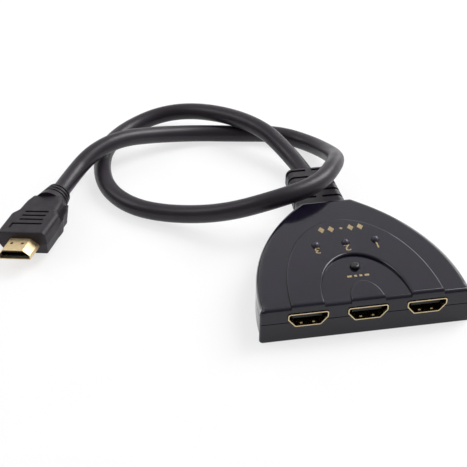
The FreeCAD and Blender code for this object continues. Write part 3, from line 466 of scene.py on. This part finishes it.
# A digit's middle plane lies this far above the panel, and its strokes are this much wider
DIGIT_LIFT = 0.01
DIGIT_SPREAD = 0.04
# Size of the built-in font over the height of its digits
FONT_SIZE = 1.45

# Middle, half width and half height of each lozenge
LOZENGES = [(-7.2, 1.3, 2.1), (-3.4, 1.3, 2.1), (0.6, 0.8, 0.8), (4.4, 1.3, 2.1), (8.2, 1.3, 2.1)]
# Middle and half width of each dash, and the half height of all
DASHES = [(-3.4, 0.9), (-1.1, 0.55), (0.9, 0.55), (3.2, 0.9)]
DASH_HALF = 0.55


def ink_plate(corners, level):
    """A thin plate of ink on a level of the cover, eased along its top edge."""
    low, high = (level - INK_SUNK) * MM, (level + INK_THICK) * MM
    mesh = bpy.data.meshes.new("plate")
    plate = bmesh.new()
    face = plate.faces.new([plate.verts.new((x * MM, y * MM, low)) for x, y in corners])
    lifted = bmesh.ops.extrude_face_region(plate, geom=[face])
    top = [item for item in lifted["geom"] if isinstance(item, bmesh.types.BMVert)]
    bmesh.ops.translate(plate, verts=top, vec=(0, 0, high - low))
    rim = [edge for edge in plate.edges
           if all(abs(vert.co.z - high) < 1e-7 for vert in edge.verts)]
    bmesh.ops.bevel(plate, geom=rim, offset=INK_EASE * MM, segments=2, affect="EDGES")
    bmesh.ops.recalc_face_normals(plate, faces=plate.faces)
    plate.to_mesh(mesh)
    plate.free()
    return mesh


def print_marks(name, plates, ink):
    """Several plates of ink as one piece that rides on the box."""
    whole = bmesh.new()
    for plate in plates:
        whole.from_mesh(plate)
        bpy.data.meshes.remove(plate)
    mesh = bpy.data.meshes.new(name)
    whole.to_mesh(mesh)
    whole.free()
    marks = bpy.data.objects.new(name, mesh)
    bpy.context.scene.collection.objects.link(marks)
    mesh.materials.append(ink)
    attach(marks, BODY)


def print_digit(digit, column, height, ink):
    """One numeral beside its lamp, turned to be read from behind the box."""
    text = bpy.data.curves.new("numeral_" + digit, "FONT")
    text.body = digit
    text.size = height * FONT_SIZE
    text.extrude = INK_THICK * MM
    text.align_x = "CENTER"
    text.align_y = "CENTER"
    text.offset = DIGIT_SPREAD * MM
    text.materials.append(ink)
    numeral = bpy.data.objects.new("numeral_" + digit, text)
    bpy.context.scene.collection.objects.link(numeral)
    place = (column * LAMP_PITCH * MM, NUMERAL_ROW * MM, (PANEL_TOP + DIGIT_LIFT) * MM)
    numeral.matrix_world = Matrix.Translation(place) @ Matrix.Rotation(math.pi, 4, "Z")
    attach(numeral, BODY)


class SWITCHBOX_OT_marks(Operator):
    """Print the numerals and the plain gold marks on the top"""

    bl_idname = "switchbox.marks"
    bl_label = "Printed marks"

    def execute(self, context):
        settings = context.scene.case_settings
        ink = metal_finish("gold_ink", settings.ink, roughness=0.45, stretch=(1, 1, 1),
                           depth=2e-6)
        for column, digit in ((-1, "3"), (0, "2"), (1, "1")):
            print_digit(digit, column, settings.numeral, ink)
        row = LOZENGE_ROW
        print_marks("gold_lozenges", [
            ink_plate([(x - half, row), (x, row - tall), (x + half, row), (x, row + tall)],
                      PANEL_TOP)
            for x, half, tall in LOZENGES], ink)
        near, far = DASH_ROW - DASH_HALF, DASH_ROW + DASH_HALF
        print_marks("gold_dashes", [
            ink_plate([(x - half, near), (x + half, near), (x + half, far), (x - half, far)],
                      RIM_TOP)
            for x, half in DASHES], ink)
        return {"FINISHED"}


# Stage

# The paper sweep: half width of the floor, where its wall stands, how high, and its bend
FLOOR_HALF = 3.0
WALL_PLACE = 1.0
WALL_HIGH = 2.4
WALL_BEND = 0.3
BEND_STEPS = 12
PAPER_TONES = ((0.88, 0.88, 0.89), (0.91, 0.91, 0.92))

# The room is bright towards one side and fades to the other over this span of the cosine
ROOM_COLOUR = (1.0, 0.985, 1.0, 1)
BRIGHT_SIDE = (0.45, 0.85, 0.27)
FADE_START = -0.4
FADE_END = 0.9

# Name, place, point aimed at, size and the setting of its power
LAMPS = [
    ("main_lamp", (0.66, 0.3, 0.78), (-0.03, 0.02, 0), (0.52, 0.7), "key_power"),
    ("side_lamp", (-0.7, 0.2, 0.6), (-0.03, 0.02, 0), (0.4, 0.4), "fill_power"),
    ("edge_lamp", (0.62, 0.85, 0.22), (0.0, 0.0, 0.01), (0.3, 0.3), "edge_power"),
]


def larger(tree, first, second):
    """The larger of two values, as a node output."""
    node = tree.nodes.new("ShaderNodeMath")
    node.operation = "MAXIMUM"
    tree.links.new(first, node.inputs[0])
    tree.links.new(second, node.inputs[1])
    return node.outputs[0]


def mix_in_white(shader, share):
    """Mix plain white into a surface for rays that see it directly, mirrored or through glass."""
    tree = shader.tree
    path = shader.node("ShaderNodeLightPath").outputs
    indirect = larger(tree, path["Is Glossy Ray"], path["Is Transmission Ray"])
    seen = larger(tree, path["Is Camera Ray"], indirect)
    scaled = shader.node("ShaderNodeMath")
    scaled.operation = "MULTIPLY"
    scaled.inputs[1].default_value = share
    shader.link(seen, scaled.inputs[0])
    white = shader.node("ShaderNodeEmission")
    white.inputs["Color"].default_value = (1, 1, 1, 1)
    mix = shader.node("ShaderNodeMixShader")
    shader.link(scaled.outputs[0], mix.inputs[0])
    shader.link(shader.surface.outputs["BSDF"], mix.inputs[1])
    shader.link(white.outputs[0], mix.inputs[2])
    shader.link(mix.outputs[0], shader.output.inputs["Surface"])


def paper_sweep():
    """A floor that curves up into a wall behind the object."""
    profile = [(-FLOOR_HALF, 0.0)]
    for step in range(BEND_STEPS + 1):
        angle = math.pi / 2 * step / BEND_STEPS
        profile.append((WALL_PLACE - WALL_BEND * (1 - math.sin(angle)),
                        WALL_BEND * (1 - math.cos(angle))))
    profile.append((WALL_PLACE, WALL_HIGH))
    paper = bmesh.new()
    rows = [[paper.verts.new((x, y, z)) for x in (-FLOOR_HALF, FLOOR_HALF)] for y, z in profile]
    for near, far in zip(rows, rows[1:]):
        face = paper.faces.new((near[0], near[1], far[1], far[0]))
        face.smooth = True
    sheet = bpy.data.meshes.new("floor")
    paper.to_mesh(sheet)
    paper.free()
    return sheet


def room_light(dark, bright):
    """A plain world that is brighter towards one side."""
    world = bpy.data.worlds.new("room")
    world.use_nodes = True
    tree = world.node_tree
    tree.nodes.clear()
    output = tree.nodes.new("ShaderNodeOutputWorld")
    room = tree.nodes.new("ShaderNodeBackground")
    room.inputs["Color"].default_value = ROOM_COLOUR
    tree.links.new(room.outputs[0], output.inputs["Surface"])
    look = tree.nodes.new("ShaderNodeTexCoord")
    side = tree.nodes.new("ShaderNodeVectorMath")
    side.operation = "DOT_PRODUCT"
    side.inputs[1].default_value = BRIGHT_SIDE
    tree.links.new(look.outputs["Generated"], side.inputs[0])
    level = tree.nodes.new("ShaderNodeMapRange")
    level.interpolation_type = "SMOOTHSTEP"
    level.inputs["From Min"].default_value = FADE_START
    level.inputs["From Max"].default_value = FADE_END
    level.inputs["To Min"].default_value = dark
    level.inputs["To Max"].default_value = bright
    tree.links.new(side.outputs["Value"], level.inputs["Value"])
    tree.links.new(level.outputs["Result"], room.inputs["Strength"])
    return world


def area_lamp(name, place, target, size, power):
    lamp = bpy.data.lights.new(name, "AREA")
    lamp.shape = "RECTANGLE"
    lamp.size, lamp.size_y = size
    lamp.energy = power
    holder = bpy.data.objects.new(name, lamp)
    holder.location = place
    aim = Vector(target) - Vector(place)
    holder.rotation_euler = aim.to_track_quat("-Z", "Y").to_euler()
    bpy.context.scene.collection.objects.link(holder)


class SWITCHBOX_OT_stage(Operator):
    """Set the pale floor, the room light and the lamps"""

    bl_idname = "switchbox.stage"
    bl_label = "Stage"

    def execute(self, context):
        scene = context.scene
        settings = scene.stage_settings
        scene.view_settings.view_transform = "Standard"

        sheet = paper_sweep()
        floor = bpy.data.objects.new("floor", sheet)
        scene.collection.objects.link(floor)
        shader = Shader("floor_paper")
        shader.tint(shader.noise(scale=30), *PAPER_TONES)
        shader.set(roughness=0.8, specular_ior_level=0.2)
        mix_in_white(shader, settings.floor_white)
        sheet.materials.append(shader.material)

        scene.world = room_light(settings.room_dark, settings.room)
        for name, place, target, size, power in LAMPS:
            area_lamp(name, place, target, size, getattr(settings, power))
        return {"FINISHED"}


# Panel

PANEL_ROWS = [
    ("cable_settings", ["diameter", "length", "colour"]),
    ("case_settings", ["colour", "gloss", "ink", "numeral"]),
    ("metal_settings", ["gold", "steel"]),
    ("stage_settings", ["lens", "key_power", "fill_power", "edge_power", "room", "room_dark",
                        "floor_white"]),
]
SETTINGS = {
    "cable_settings": CableSettings,
    "case_settings": CaseSettings,
    "metal_settings": MetalSettings,
    "stage_settings": StageSettings,
}
OPERATORS = [
    SWITCHBOX_OT_camera, SWITCHBOX_OT_cable, SWITCHBOX_OT_case, SWITCHBOX_OT_sockets,
    SWITCHBOX_OT_plug, SWITCHBOX_OT_relief, SWITCHBOX_OT_inside, SWITCHBOX_OT_marks,
    SWITCHBOX_OT_stage,
]


class SWITCHBOX_PT_panel(Panel):
    bl_label = "Switch Box"
    bl_idname = "SWITCHBOX_PT_panel"
    bl_space_type = "VIEW_3D"
    bl_region_type = "UI"
    bl_category = "Switch Box"

    def draw(self, context):
        for owner, names in PANEL_ROWS:
            settings = getattr(context.scene, owner)
            for name in names:
                self.layout.prop(settings, name)
        for operator in OPERATORS:
            self.layout.operator(operator.bl_idname)


def register():
    for kind in [*SETTINGS.values(), *OPERATORS, SWITCHBOX_PT_panel]:
        bpy.utils.register_class(kind)
    for name, kind in SETTINGS.items():
        setattr(bpy.types.Scene, name, PointerProperty(type=kind))


def unregister():
    for name in SETTINGS:
        delattr(bpy.types.Scene, name)
    for kind in [SWITCHBOX_PT_panel, *reversed(OPERATORS), *reversed(SETTINGS.values())]:
        bpy.utils.unregister_class(kind)


def main():
    register()
    for operator in OPERATORS:
        group, name = operator.bl_idname.split(".")
        getattr(getattr(bpy.ops, group), name)()
    bpy.context.view_layer.update()


if __name__ == "__main__":
    main()
